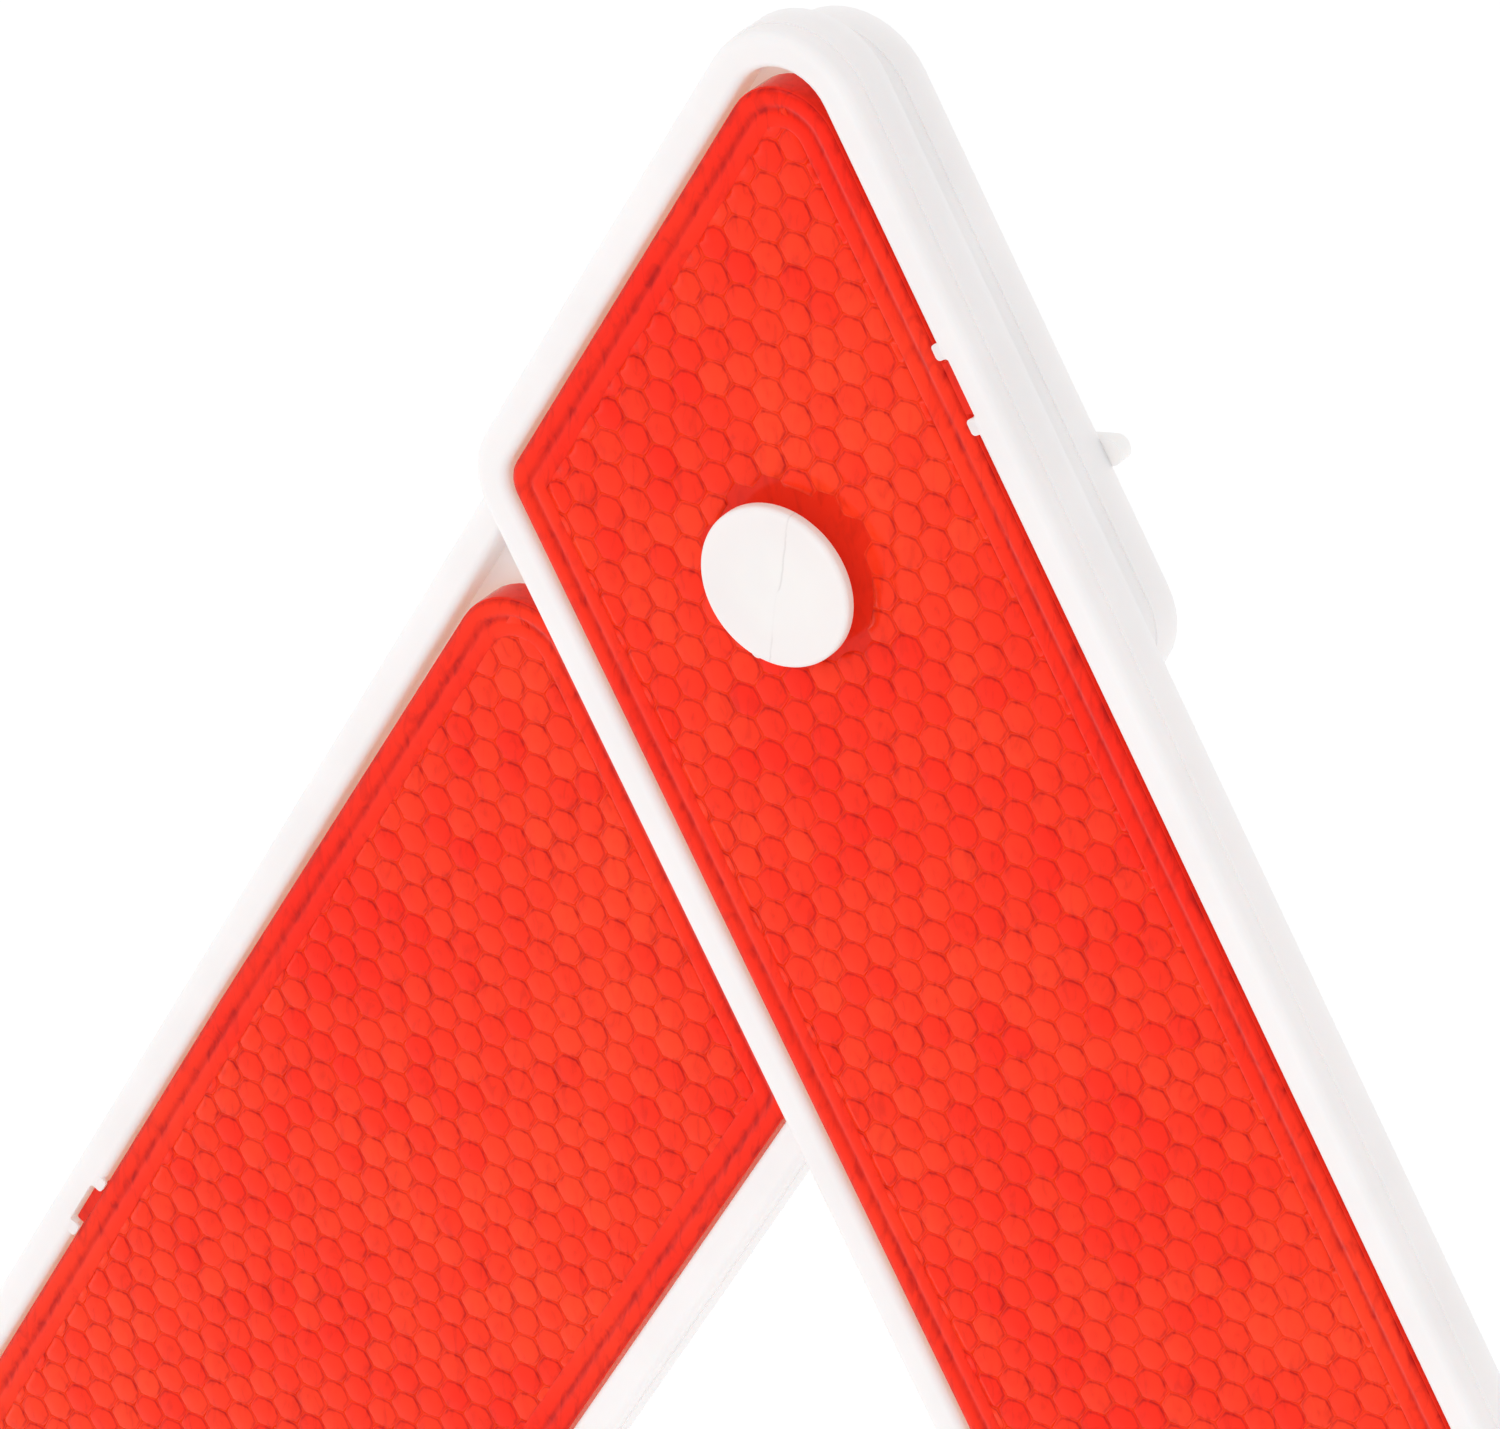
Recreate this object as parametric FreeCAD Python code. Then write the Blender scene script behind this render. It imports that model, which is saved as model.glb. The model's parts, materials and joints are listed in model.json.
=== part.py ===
import FreeCAD, Part
import math
import os

from FreeCAD import Vector

# Folding warning triangle on two swing-out feet.
#
# Three white trays of one section carry red reflex lenses and make an upright
# triangle. The base tray is fixed on its stand. The left and right arms turn on
# rivets at the base's two ends and fold inwards, one in front of the other, down
# onto the base. A push button at the apex locks the right arm to the left one.
#
# Frame: X to the right along the base, Y from the front to the back, Z up.
# The origin lies on the ground, under the middle of the stand.
# Each arm has its own pair of axes: s runs along it from its lower pivot, and
# t runs from its centre line towards the triangle's outside.

# Triangle and arm section, millimetres
SIDE = 450.0             # side of the triangle between its sharp outer corners
ARM_WIDTH = 50.0         # across one arm
ARM_DEPTH = 4.84         # one arm, front to back
RIM_WIDTH = 2.8          # raised rim round each tray
FLOOR = 1.6              # tray floor under the lens
FLANGE_OUT = 0.12        # how far the back of a tray stands outside its rim
FLANGE_DEPTH = 2.84      # how deep that wider back is
END_EXTRA = 1.06         # a sloped end lies this much past half the arm's width from the crossing
LEFT_END_EXTRA = -0.62   # the same for the left arm's, which is cut a little shorter
TIP_RADIUS = 7.0         # rounding of the sharp corner of a sloped end
SHOULDER_RADIUS = 6.0    # rounding of the blunt corner of a sloped end
EDGE_ROUND = 0.7         # rounding of the rim's front edges

# Lens
LENS_RECESS = 0.5        # lens face below the rim
LENS_GAP = 0.35          # play between lens and rim along the sides
LENS_END_GAP = 0.45      # play between lens and rim at a sloped end
LENS_EDGE = 0.5          # rounding of the lens's front edge
LENS_TIP = 5.0           # rounding of a lens's sharp corners
LEFT_LENS_CLEAR = 3.2    # left lens's sloped end, short of the right arm's edge
LEFT_LENS_TIP = 6.0      # rounding of that end's sharp corner
LEFT_LENS_TAPER = 0.6    # left lens's outer side, drawn in at that corner
TAPER_RUN = 60.0         # length over which it is drawn in
TAB_LENGTH = 4.8         # snap tab of a lens in its notch in the rim
TAB_DEPTH = 0.65         # how far the notch cuts into the rim
TAB_FIRST = 9.6          # first tab, past the apex button
TAB_SPACING = 118.0      # from tab to tab along an arm
TAB_PLAY = 0.25          # play round a tab in its notch
LUG_LENGTH = 1.3         # two small lugs on the rim hold the lens at each notch
LUG_REACH = 0.4          # how far they reach over the lens

# Layers, front to back: lug, right arm, left arm, base
LUG_DEPTH = 3.6
LUG_GAP = 0.5            # lug to right arm
ARM_GAP = 0.1            # right arm to left arm
BASE_GAP = 2.6           # left arm to base, room for the latch receiver

# Pivot rivets
RIVET_RADIUS = 3.5
RUNNING = 0.05           # radial clearance of a turning fit
HEAD_OUT = 3.15          # visible heads, past their rivet's stem
HEAD_PROUD = 1.9
BOSS_WALL = 3.5          # boss round a sunk head, inside its tray
BOSS_PLAY = 0.4          # lens hole round a boss
SUNK_HEAD_OUT = 2.7      # sunk heads, past their rivet's stem
SUNK_HEAD_DEPTH = 1.2
LEFT_HEAD_DEPTH = 2.5    # the left rivet's sunk head, deep enough for its dimple
DIMPLE_PLAY = 0.3        # round the button's bead, in the dimple that takes it when folded
SUNK_PLAY = 0.3          # radial play round a sunk head
FACE_PLAY = 0.1          # axial play of heads and spacers
SPACER_WALL = 4.5

# Apex push button
STEM_RADIUS = 3.2
BEAD_OUT = 0.5           # snap bead on the stem's tail, past the stem
BEAD_DEPTH = 1.1
BUTTON_TRAVEL = 1.7
BUTTON_RADIUS = 6.55     # its flat head
BUTTON_PROUD = 2.35      # head's face in front of the rim
BUTTON_THICK = 0.9
NECK_WALL = 0.7          # neck under the head, past the stem, through the lens
NECK_REACH = 0.6         # how far the neck reaches behind the rim's front
NECK_PLAY = 0.2          # lens hole round the neck
NIB_RADIUS = 0.6         # moulding nib on the head's lower edge
NIB_ANGLE = 254.0
NOSE_GAP = 0.34          # stem tail to left arm when released
GUIDE_WALL = 1.2         # bush that guides the stem, round the bead's room
RECEIVER_WALL = 2.0      # barrel of the receiver in the left arm, round the bead's room
RECEIVER_FLANGE_OUT = 3.0
RECEIVER_FLANGE_DEPTH = 1.4
BEAD_PLAY = 0.3          # radial play round the bead
RECEIVER_SUNK = 0.3      # receiver barrel behind the left arm's front
FINGER_WIDTH = 2.1       # finger tab of the receiver
FINGER_PAST = 0.36       # how much further out than the left arm's end the tab reaches
FINGER_RISE = 7.2        # its centre line passes this far above the button's axis
FINGER_ANGLE = 12.0      # it points this far above the level, outwards
FINGER_RADIUS = 1.0

# Stand
SHELF_DEPTH_GAP = 0.9    # shelf top below the arms' edges
SHELF_THICK = 3.5
SHELF_OVERHANG = 20.0    # shelf past each pivot
LUG_HALF_WIDTH = 14.0
LUG_TOP_RADIUS = 12.5
FOOT_LENGTH = 190.0
FOOT_WIDTH = 18.0
FOOT_THICK = 2.0
FOOT_CLEARANCE = 6.0     # between the feet's turning circles and the middle
FOOT_RIVET_RADIUS = 3.0
FOOT_HEAD_OUT = 2.5      # its heads, past the stem
FOOT_HEAD_THICK = 1.2
WASHER_WALL = 5.5
WASHER_THICK = 1.5
PAD_LENGTH = 22.0
PAD_WALL = 2.2           # rubber beside and beyond the bar
PAD_SOLE = 3.6           # rubber under the bar
PAD_TOP = 1.1            # rubber over the bar
PAD_RADIUS = 4.0

# Worked-out places
COS30 = math.cos(math.radians(30.0))
SPAN = SIDE - ARM_WIDTH / math.tan(math.radians(30.0))
HALF = ARM_WIDTH / 2.0
END_OFFSET = HALF + END_EXTRA
LEFT_LENS_END = -HALF - LEFT_LENS_CLEAR
FINGER_REACH = HALF + LEFT_END_EXTRA + FINGER_PAST
HEAD_RADIUS = RIVET_RADIUS + HEAD_OUT
SPACER_RADIUS = RIVET_RADIUS + SPACER_WALL
BEAD_RADIUS = STEM_RADIUS + BEAD_OUT
SUNK_HEAD_RADIUS = max(RIVET_RADIUS + SUNK_HEAD_OUT, BEAD_RADIUS + 2.0 * DIMPLE_PLAY)
BOSS_RADIUS = SUNK_HEAD_RADIUS + SUNK_PLAY + BOSS_WALL
NECK_RADIUS = STEM_RADIUS + NECK_WALL
GUIDE_RADIUS = BEAD_RADIUS + BEAD_PLAY + GUIDE_WALL
GUIDE_FRONT = NECK_REACH + BUTTON_TRAVEL + FACE_PLAY
RECEIVER_RADIUS = BEAD_RADIUS + BEAD_PLAY + RECEIVER_WALL
RECEIVER_FLANGE = RECEIVER_RADIUS + RECEIVER_FLANGE_OUT
FOOT_HEAD_RADIUS = FOOT_RIVET_RADIUS + FOOT_HEAD_OUT
WASHER_RADIUS = FOOT_RIVET_RADIUS + WASHER_WALL
STACK = 3.0 * ARM_DEPTH + ARM_GAP + BASE_GAP
RIGHT_FRONT = -STACK / 2.0
LEFT_FRONT = RIGHT_FRONT + ARM_DEPTH + ARM_GAP
BASE_FRONT = LEFT_FRONT + ARM_DEPTH + BASE_GAP
BASE_BACK = BASE_FRONT + ARM_DEPTH
LUG_FRONT = RIGHT_FRONT - LUG_GAP - LUG_DEPTH
BAR_BOTTOM = PAD_SOLE
BAR_TOP = BAR_BOTTOM + FOOT_THICK
SHELF_BOTTOM = BAR_TOP + FACE_PLAY + WASHER_THICK
SHELF_TOP = SHELF_BOTTOM + SHELF_THICK
BASE_Z = SHELF_TOP + SHELF_DEPTH_GAP + HALF
LENS_THICK = ARM_DEPTH - FLOOR - LENS_RECESS
PAD_REACH = math.hypot(FOOT_LENGTH / 2.0 + PAD_WALL, FOOT_WIDTH / 2.0 + PAD_WALL)
FOOT_X = PAD_REACH + FOOT_CLEARANCE


class Arm:
    """The two axes of one arm, and where its front face lies."""

    def __init__(self, pivot_x, along_degrees, outward_degrees, front):
        self.pivot_x = pivot_x
        self.front = front
        self.along = direction(along_degrees)
        self.outward = direction(outward_degrees)

    def point(self, s, t, depth=0.0):
        """The point at s along the arm, t outwards and depth behind its front."""
        x = self.pivot_x + s * self.along[0] + t * self.outward[0]
        z = BASE_Z + s * self.along[1] + t * self.outward[1]
        return Vector(x, self.front + depth, z)


def direction(degrees):
    """Unit vector in the XZ plane, at an angle from +X towards +Z."""
    angle = math.radians(degrees)
    return (math.cos(angle), math.sin(angle))


def rounded_outline(corners):
    """Closed list of lines and arcs round (s, t, radius) corners, as point lists."""
    count = len(corners)
    turns = []
    for i in range(count):
        s, t, radius = corners[i]
        before = corners[i - 1]
        after = corners[(i + 1) % count]
        back = Vector(before[0] - s, before[1] - t, 0).normalize()
        ahead = Vector(after[0] - s, after[1] - t, 0).normalize()
        half = back.getAngle(ahead) / 2.0
        reach = radius / math.tan(half)
        corner = Vector(s, t, 0)
        middle = (back + ahead).normalize()
        centre = corner + middle * (radius / math.sin(half))
        turns.append((corner + back * reach, centre - middle * radius, corner + ahead * reach))
    pieces = []
    for i in range(count):
        pieces.append(turns[i])
        start = turns[i][2]
        end = turns[(i + 1) % count][0]
        if start.distanceToPoint(end) > 1e-6:
            pieces.append((start, end))
    return pieces


def prism(arm, corners, start, depth):
    """Solid on an arm, from an outline of rounded corners, start behind the front."""
    edges = []
    for piece in rounded_outline(corners):
        points = [arm.point(p.x, p.y, start) for p in piece]
        if len(points) == 3:
            edges.append(Part.Arc(points[0], points[1], points[2]).toShape())
        else:
            edges.append(Part.LineSegment(points[0], points[1]).toShape())
    return Part.Face(Part.Wire(edges)).extrude(Vector(0, depth, 0))


def sloped_end(grow, end_grow, side):
    """The two corners of a sloped end; side is +1 at the far end, -1 at the pivot."""
    half = HALF + grow
    end = END_OFFSET + end_grow
    middle = SPAN / 2.0
    tip = middle + side * (middle + (end + half / 2.0) / COS30)
    shoulder = middle + side * (middle + (end - half / 2.0) / COS30)
    return [(tip, half, TIP_RADIUS + grow), (shoulder, -half, SHOULDER_RADIUS + grow)]


def arm_corners(grow=0.0, end_grow=None):
    """Outline of a side arm: sloped at the apex, round about its lower pivot."""
    if end_grow is None:
        end_grow = grow
    half = HALF + grow
    round_end = [(-half, -half, half), (-half, half, half)]
    return sloped_end(grow, end_grow, 1) + round_end


def left_arm_corners(grow=0.0):
    """Outline of the left arm, whose sloped end is cut a little shorter."""
    return arm_corners(grow, grow + LEFT_END_EXTRA - END_EXTRA)


def lens_corners(corners):
    """Outline of a lens, with its sharp corners rounded more than the tray's."""
    sharp = TIP_RADIUS - RIM_WIDTH - LENS_GAP
    return [(s, t, LENS_TIP if abs(radius - sharp) < 1e-6 else radius) for s, t, radius in corners]


def base_corners(grow=0.0, end_grow=None):
    """Outline of the base tray: sloped at both ends."""
    if end_grow is None:
        end_grow = grow
    return sloped_end(grow, end_grow, 1) + sloped_end(grow, end_grow, -1)[::-1]


def bar(arm, s, t, radius, start, depth):
    """Round bar through an arm, parallel to Y."""
    return Part.makeCylinder(radius, depth, arm.point(s, t, start), Vector(0, 1, 0))


def upright(x, y, radius, bottom, height):
    """Round bar parallel to Z."""
    return Part.makeCylinder(radius, height, Vector(x, y, bottom), Vector(0, 0, 1))


def round_front(shape, front, radius):
    """Shape with the edges that lie in its front face rounded."""
    edges = []
    for edge in shape.Edges:
        box = edge.BoundBox
        if abs(box.YMin - front) < 1e-4 and abs(box.YMax - front) < 1e-4:
            edges.append(edge)
    return shape.makeFillet(radius, edges)


def tab_places():
    """Middles of the snap tabs along an arm, from the apex down."""
    places = []
    s = SPAN + TAB_FIRST
    while s > HALF:
        places.append(s)
        s -= TAB_SPACING
    return places


def tab_block(arm, s, play, start, depth):
    """Block that reaches from the lens into the outer rim at s."""
    half = TAB_LENGTH / 2.0 + play
    inner = HALF - RIM_WIDTH - 2.0 * TAB_DEPTH
    outer = HALF - RIM_WIDTH + TAB_DEPTH + play
    radius = TAB_DEPTH / 3.0
    corners = [(s - half, inner, radius), (s + half, inner, radius),
               (s + half, outer, radius), (s - half, outer, radius)]
    return prism(arm, corners, start, depth)


def tray(arm, corners_of):
    """Tray with its rim, wider back and snap notches, still without bosses."""
    rim_depth = ARM_DEPTH - FLANGE_DEPTH
    shape = prism(arm, corners_of(0.0), 0.0, rim_depth)
    shape = shape.fuse(prism(arm, corners_of(FLANGE_OUT), rim_depth, FLANGE_DEPTH))
    pocket = prism(arm, corners_of(-RIM_WIDTH), 0.0, ARM_DEPTH - FLOOR)
    shape = round_front(shape.cut(pocket).removeSplitter(), arm.front, EDGE_ROUND)
    for s in tab_places():
        shape = shape.cut(tab_block(arm, s, 0.0, 0.0, ARM_DEPTH - FLOOR))
        for side in (-1, 1):
            shape = shape.fuse(snap_lug(arm, s + side * (TAB_LENGTH + LUG_LENGTH) / 2.0))
    return shape.removeSplitter()


def snap_lug(arm, s):
    """Small lug on the outer rim that reaches over the lens at s."""
    inner = HALF - RIM_WIDTH - LUG_REACH
    outer = HALF - RIM_WIDTH + TAB_DEPTH
    half = LUG_LENGTH / 2.0
    corners = [(s - half, inner, half / 2.0), (s + half, inner, half / 2.0),
               (s + half, outer, half / 4.0), (s - half, outer, half / 4.0)]
    return prism(arm, corners, LENS_RECESS / 5.0, LENS_RECESS * 0.6)


def lens(arm, corners, holes):
    """Lens slab on a tray's floor, with tabs in the notches and round holes."""
    shape = prism(arm, corners, LENS_RECESS, LENS_THICK)
    box = shape.BoundBox
    for s in tab_places():
        if box.isInside(arm.point(s, HALF - RIM_WIDTH - TAB_DEPTH, LENS_RECESS + LENS_THICK / 2.0)):
            shape = shape.fuse(tab_block(arm, s, -TAB_PLAY, LENS_RECESS, LENS_THICK))
    shape = shape.removeSplitter()
    shape = round_front(shape, arm.front + LENS_RECESS, min(LENS_EDGE, LENS_THICK / 3.0, TAB_DEPTH / 4.0))
    for s, radius in holes:
        shape = shape.cut(bar(arm, s, 0.0, radius, 0.0, ARM_DEPTH))
    return shape


def ring(arm, s, outer, inner, start, depth):
    """Flat ring round a pivot axis."""
    return bar(arm, s, 0.0, outer, start, depth).cut(bar(arm, s, 0.0, inner, start, depth))


def left_frame(arm):
    """Left arm's tray: sunk rivet head in front, hole for the latch receiver."""
    shape = tray(arm, left_arm_corners)
    shape = shape.fuse(bar(arm, 0.0, 0.0, BOSS_RADIUS, 0.0, ARM_DEPTH))
    shape = shape.cut(bar(arm, 0.0, 0.0, RIVET_RADIUS + RUNNING, 0.0, ARM_DEPTH))
    sunk = LEFT_HEAD_DEPTH + 2.0 * FACE_PLAY
    shape = shape.cut(bar(arm, 0.0, 0.0, SUNK_HEAD_RADIUS + SUNK_PLAY, 0.0, sunk))
    return shape.cut(bar(arm, SPAN, 0.0, RECEIVER_RADIUS, 0.0, ARM_DEPTH))


def right_frame(arm):
    """Right arm's tray: sunk rivet tail behind, hole for the button's guide."""
    shape = tray(arm, arm_corners)
    shape = shape.fuse(bar(arm, 0.0, 0.0, BOSS_RADIUS, 0.0, ARM_DEPTH))
    shape = shape.cut(bar(arm, 0.0, 0.0, RIVET_RADIUS + RUNNING, 0.0, ARM_DEPTH))
    sunk = SUNK_HEAD_DEPTH + 2.0 * FACE_PLAY
    shape = shape.cut(bar(arm, 0.0, 0.0, SUNK_HEAD_RADIUS + SUNK_PLAY, ARM_DEPTH - sunk, sunk))
    return shape.cut(bar(arm, SPAN, 0.0, GUIDE_RADIUS, 0.0, ARM_DEPTH))


def block(low, high):
    """Box between two corners."""
    return Part.makeBox(high[0] - low[0], high[1] - low[1], high[2] - low[2], Vector(*low))


def base_frame(arm):
    """Base tray with its shelf, and the lug that carries the right arm."""
    shape = tray(arm, base_corners)
    shape = shape.fuse(bar(arm, 0.0, 0.0, BOSS_RADIUS, 0.0, ARM_DEPTH))
    shape = shape.cut(bar(arm, 0.0, 0.0, RIVET_RADIUS, 0.0, ARM_DEPTH))
    reach = SPAN / 2.0 + SHELF_OVERHANG
    web_top = BASE_Z - HALF + RIM_WIDTH / 2.0
    shelf = block((-reach, RIGHT_FRONT, SHELF_BOTTOM), (reach, BASE_BACK, SHELF_TOP))
    web = block((-reach, BASE_FRONT + EDGE_ROUND, SHELF_BOTTOM), (reach, BASE_BACK, web_top))
    lug_x = SPAN / 2.0
    foot = block((lug_x - LUG_HALF_WIDTH, LUG_FRONT, SHELF_BOTTOM),
                 (lug_x + LUG_HALF_WIDTH, RIGHT_FRONT, SHELF_TOP))
    stand_drop = BASE_Z - SHELF_BOTTOM
    lug_arm = Arm(lug_x, 90.0, 0.0, LUG_FRONT)
    lug_corners = [(-stand_drop, -LUG_HALF_WIDTH, 1.0), (-stand_drop, LUG_HALF_WIDTH, 1.0),
                   (LUG_HALF_WIDTH, LUG_HALF_WIDTH, LUG_TOP_RADIUS),
                   (LUG_HALF_WIDTH, -LUG_HALF_WIDTH, LUG_TOP_RADIUS)]
    lug = round_front(prism(lug_arm, lug_corners, 0.0, LUG_DEPTH), LUG_FRONT, EDGE_ROUND)
    shape = shape.fuse([shelf, web, foot, lug]).removeSplitter()
    shape = shape.cut(bar(lug_arm, 0.0, 0.0, RIVET_RADIUS, 0.0, LUG_DEPTH))
    for x in (-FOOT_X, FOOT_X):
        shape = shape.cut(upright(x, 0.0, FOOT_RIVET_RADIUS, SHELF_BOTTOM, SHELF_THICK))
        sunk = upright(x, 0.0, FOOT_HEAD_RADIUS, SHELF_TOP - FOOT_HEAD_THICK, FOOT_HEAD_THICK)
        shape = shape.cut(sunk)
    return shape


def headed(arm, front_of_head, head_depth):
    """Round head with a softly rounded front edge, centred on an arm's pivot."""
    head = bar(arm, 0.0, 0.0, HEAD_RADIUS, front_of_head, head_depth)
    return round_front(head, arm.front + front_of_head, HEAD_PROUD / 2.5)


def left_rivet(arm, base):
    """Rivet of the left arm: sunk and dimpled in front, domed behind the base."""
    shape = bar(arm, 0.0, 0.0, SUNK_HEAD_RADIUS, FACE_PLAY, LEFT_HEAD_DEPTH)
    stem_end = BASE_BACK - LEFT_FRONT
    shape = shape.fuse(bar(arm, 0.0, 0.0, RIVET_RADIUS, FACE_PLAY, stem_end - FACE_PLAY))
    tail = bar(base, 0.0, 0.0, HEAD_RADIUS, ARM_DEPTH, HEAD_PROUD)
    rim = [edge for edge in tail.Edges if edge.BoundBox.YMin > BASE_BACK + HEAD_PROUD - 1e-3]
    shape = shape.fuse(tail.makeFillet(HEAD_PROUD / 2.5, rim)).removeSplitter()
    bead_reach = BUTTON_TRAVEL - NOSE_GAP
    return shape.cut(bar(arm, 0.0, 0.0, BEAD_RADIUS + DIMPLE_PLAY, 0.0, bead_reach + DIMPLE_PLAY))


def right_rivet(arm):
    """Rivet of the right arm: domed on the lug, sunk in the arm's back."""
    lug_face = LUG_FRONT - arm.front
    shape = headed(arm, lug_face - HEAD_PROUD, HEAD_PROUD)
    stem_end = ARM_DEPTH - FACE_PLAY
    shape = shape.fuse(bar(arm, 0.0, 0.0, RIVET_RADIUS, lug_face, stem_end - lug_face))
    tail = bar(arm, 0.0, 0.0, SUNK_HEAD_RADIUS, stem_end - SUNK_HEAD_DEPTH, SUNK_HEAD_DEPTH)
    return shape.fuse(tail).removeSplitter()


def spacer(arm, start, gap, bore):
    """Spacer ring in a gap between two layers."""
    play = min(RUNNING, gap / 4.0)
    return ring(arm, 0.0, SPACER_RADIUS, bore, start + play, gap - 2.0 * play)


def push_button(arm):
    """Apex button: thin round head on a neck, stem and a snap bead on its tail."""
    tail = ARM_DEPTH + ARM_GAP - NOSE_GAP
    head = bar(arm, SPAN, 0.0, BUTTON_RADIUS, -BUTTON_PROUD, BUTTON_THICK)
    shape = round_front(head, arm.front - BUTTON_PROUD, BUTTON_THICK / 2.5)
    nib = direction(NIB_ANGLE)
    centre = arm.point(SPAN, 0.0, BUTTON_THICK / 2.0 - BUTTON_PROUD)
    centre = centre + Vector(nib[0], 0.0, nib[1]) * (BUTTON_RADIUS - NIB_RADIUS / 2.0)
    shape = shape.fuse(Part.makeCylinder(NIB_RADIUS, BUTTON_THICK / 2.0, centre, Vector(0, 1, 0)))
    neck = BUTTON_PROUD - BUTTON_THICK + NECK_REACH
    shape = shape.fuse(bar(arm, SPAN, 0.0, NECK_RADIUS, BUTTON_THICK - BUTTON_PROUD, neck))
    shape = shape.fuse(bar(arm, SPAN, 0.0, STEM_RADIUS, 0.0, tail))
    shape = shape.fuse(bar(arm, SPAN, 0.0, BEAD_RADIUS, tail - BEAD_DEPTH, BEAD_DEPTH))
    return shape.removeSplitter()


def button_guide(arm):
    """Bush in the right arm's floor, hollowed behind for the snap bead."""
    shape = ring(arm, SPAN, GUIDE_RADIUS, STEM_RADIUS + RUNNING, GUIDE_FRONT, ARM_DEPTH - GUIDE_FRONT)
    bead_start = ARM_DEPTH + ARM_GAP - NOSE_GAP - BEAD_DEPTH - FACE_PLAY
    room = bar(arm, SPAN, 0.0, BEAD_RADIUS + BEAD_PLAY, bead_start, ARM_DEPTH - bead_start)
    return shape.cut(room)


def latch_receiver(arm):
    """Socket of the button in the left arm, with a finger tab past the arm's end."""
    shape = bar(arm, SPAN, 0.0, RECEIVER_RADIUS, RECEIVER_SUNK, ARM_DEPTH - RECEIVER_SUNK)
    flange = bar(arm, SPAN, 0.0, RECEIVER_FLANGE, ARM_DEPTH, RECEIVER_FLANGE_DEPTH)
    level = Arm(0.0, FINGER_ANGLE, FINGER_ANGLE + 90.0, arm.front)
    axis = arm.point(SPAN, 0.0)
    start = (axis.z - BASE_Z) * level.along[1]
    rise = (axis.z - BASE_Z) * level.outward[1] + FINGER_RISE
    low, high = rise - FINGER_WIDTH / 2.0, rise + FINGER_WIDTH / 2.0
    corners = [(start, low, 0.2), (start + FINGER_REACH, low, FINGER_RADIUS),
               (start + FINGER_REACH, high, FINGER_RADIUS), (start, high, 0.2)]
    finger = prism(level, corners, ARM_DEPTH, RECEIVER_FLANGE_DEPTH)
    shape = shape.fuse([flange, finger]).removeSplitter()
    hollow = bar(arm, SPAN, 0.0, BEAD_RADIUS + BEAD_PLAY, 0.0, ARM_DEPTH + RECEIVER_FLANGE_DEPTH)
    return shape.cut(hollow)


def foot_bar(x):
    """Flat steel bar of a foot, standing across the triangle."""
    half = FOOT_LENGTH / 2.0
    shape = block((x - FOOT_WIDTH / 2.0, -half, BAR_BOTTOM), (x + FOOT_WIDTH / 2.0, half, BAR_TOP))
    return shape.cut(upright(x, 0.0, FOOT_RIVET_RADIUS + RUNNING, BAR_BOTTOM, FOOT_THICK))


def foot_pad(x, side):
    """Rubber shoe over one end of a foot bar; side is -1 in front, +1 behind."""
    end = side * (FOOT_LENGTH / 2.0 + PAD_WALL)
    near = end - side * PAD_LENGTH
    half = FOOT_WIDTH / 2.0 + PAD_WALL
    height = PAD_SOLE + FOOT_THICK + PAD_TOP
    shape = block((x - half, min(near, end), 0.0), (x + half, max(near, end), height))
    corners = [edge for edge in shape.Edges if edge.BoundBox.ZLength > height - 1e-3]
    return shape.makeFillet(PAD_RADIUS, corners).cut(foot_bar(x))


def foot_rivet(x):
    """Upright rivet of a foot, flush with the shelf's top."""
    shape = upright(x, 0.0, FOOT_HEAD_RADIUS, SHELF_TOP - FOOT_HEAD_THICK, FOOT_HEAD_THICK)
    bottom = BAR_BOTTOM - FACE_PLAY
    shape = shape.fuse(upright(x, 0.0, FOOT_RIVET_RADIUS, bottom, SHELF_TOP - bottom))
    head = upright(x, 0.0, FOOT_HEAD_RADIUS, bottom - FOOT_HEAD_THICK, FOOT_HEAD_THICK)
    return shape.fuse(head).removeSplitter()


def foot_washer(x):
    """Washer between a foot bar and the shelf."""
    shape = upright(x, 0.0, WASHER_RADIUS, SHELF_BOTTOM - WASHER_THICK, WASHER_THICK)
    return shape.cut(upright(x, 0.0, FOOT_RIVET_RADIUS, SHELF_BOTTOM - WASHER_THICK, WASHER_THICK))


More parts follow.
